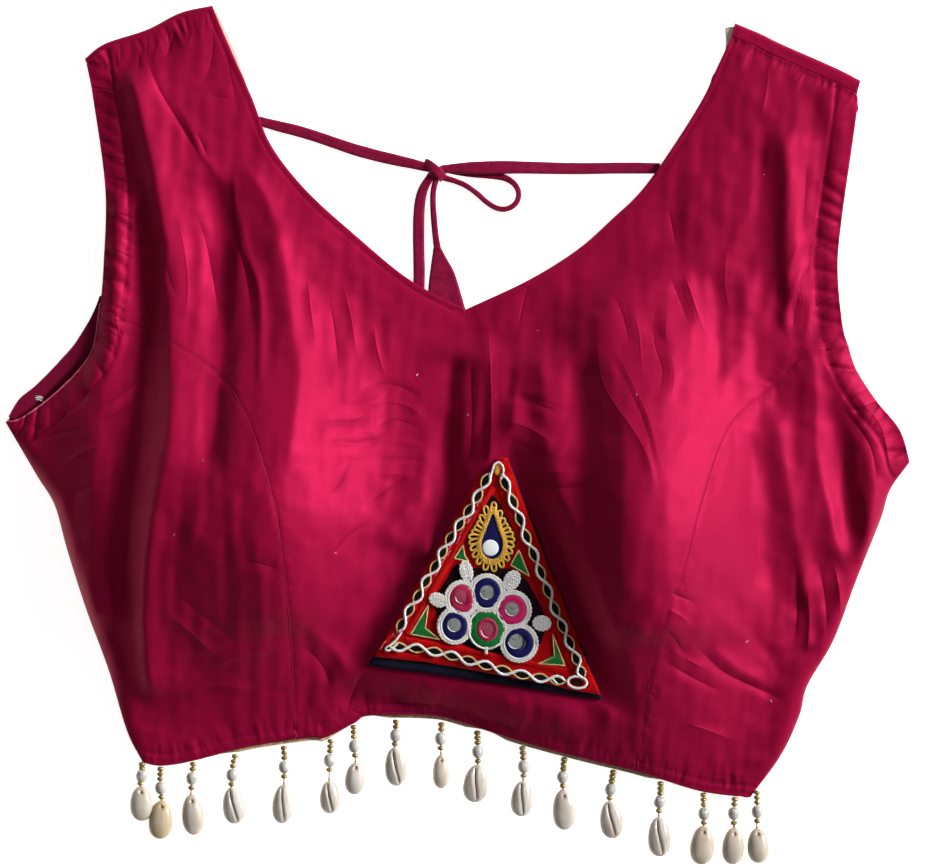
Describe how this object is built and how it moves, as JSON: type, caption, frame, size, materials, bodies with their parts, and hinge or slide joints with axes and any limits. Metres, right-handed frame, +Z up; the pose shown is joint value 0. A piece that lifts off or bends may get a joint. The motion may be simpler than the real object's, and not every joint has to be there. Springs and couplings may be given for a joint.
{
  "type": "choli blouse",
  "caption": "Sleeveless choli blouse laid flat: padded princess front, deep tied back, triangular mirror-work patch and a cowrie-drop hem trim.",
  "frame": {"origin": "middle of the garment's outline, on the surface that it lies on", "axes": "+X towards the wearer's left strap, which is on the right as seen from above; +Y towards the shoulders; +Z up from the surface, out of the front"},
  "size_m": [0.4516, 0.429, 0.048],
  "materials": {
    "cloth": "raspberry cotton-silk plain weave with a soft sheen",
    "facing": "cream cotton lining cloth",
    "tape": "beige and gold woven tape",
    "felt": "dark navy felt",
    "patch_ground": "red cloth filled with dense stitching",
    "white_thread": "white and cream embroidery thread",
    "gold_thread": "gold-yellow embroidery thread",
    "beads": "milky white glass beads with small gold metal beads between",
    "shell": "natural cowrie shell, smooth porcelain gloss"
  },
  "bodies": {
    "root": {"armhole_facing_left": "facing", "back_left": "cloth", "back_right": "cloth", "bead_string_01": "beads", "bead_string_02": "beads", "bead_string_03": "beads", "bead_string_04": "beads", "bead_string_05": "beads", "bead_string_06": "beads", "bead_string_07": "beads", "bead_string_08": "beads", "bead_string_09": "beads", "bead_string_10": "beads", "bead_string_11": "beads", "bead_string_12": "beads", "bead_string_13": "beads", "bead_string_14": "beads", "bead_string_15": "beads", "bead_string_16": "beads", "bead_string_17": "beads", "bow_knot": "cloth", "bow_loop": "cloth", "cowrie_01": "shell", "cowrie_02": "shell", "cowrie_03": "shell", "cowrie_04": "shell", "cowrie_05": "shell", "cowrie_06": "shell", "cowrie_07": "shell", "cowrie_08": "shell", "cowrie_09": "shell", "cowrie_10": "shell", "cowrie_11": "shell", "cowrie_12": "shell", "cowrie_13": "shell", "cowrie_14": "shell", "cowrie_15": "shell", "cowrie_16": "shell", "cowrie_17": "shell", "front_centre": "cloth", "front_side_left": "cloth", "front_side_right": "cloth", "hem_tape": "tape", "neck_facing_left": "facing", "neck_facing_right": "facing", "patch_border": "white_thread", "patch_droplet": "gold_thread", "patch_felt": "felt", "patch_ground": "patch_ground", "patch_rosette": "white_thread", "tail_end": "cloth", "tail_left": "cloth", "tail_right": "cloth", "tie_left": "cloth", "tie_right": "cloth"}
  },
  "joints": []
}
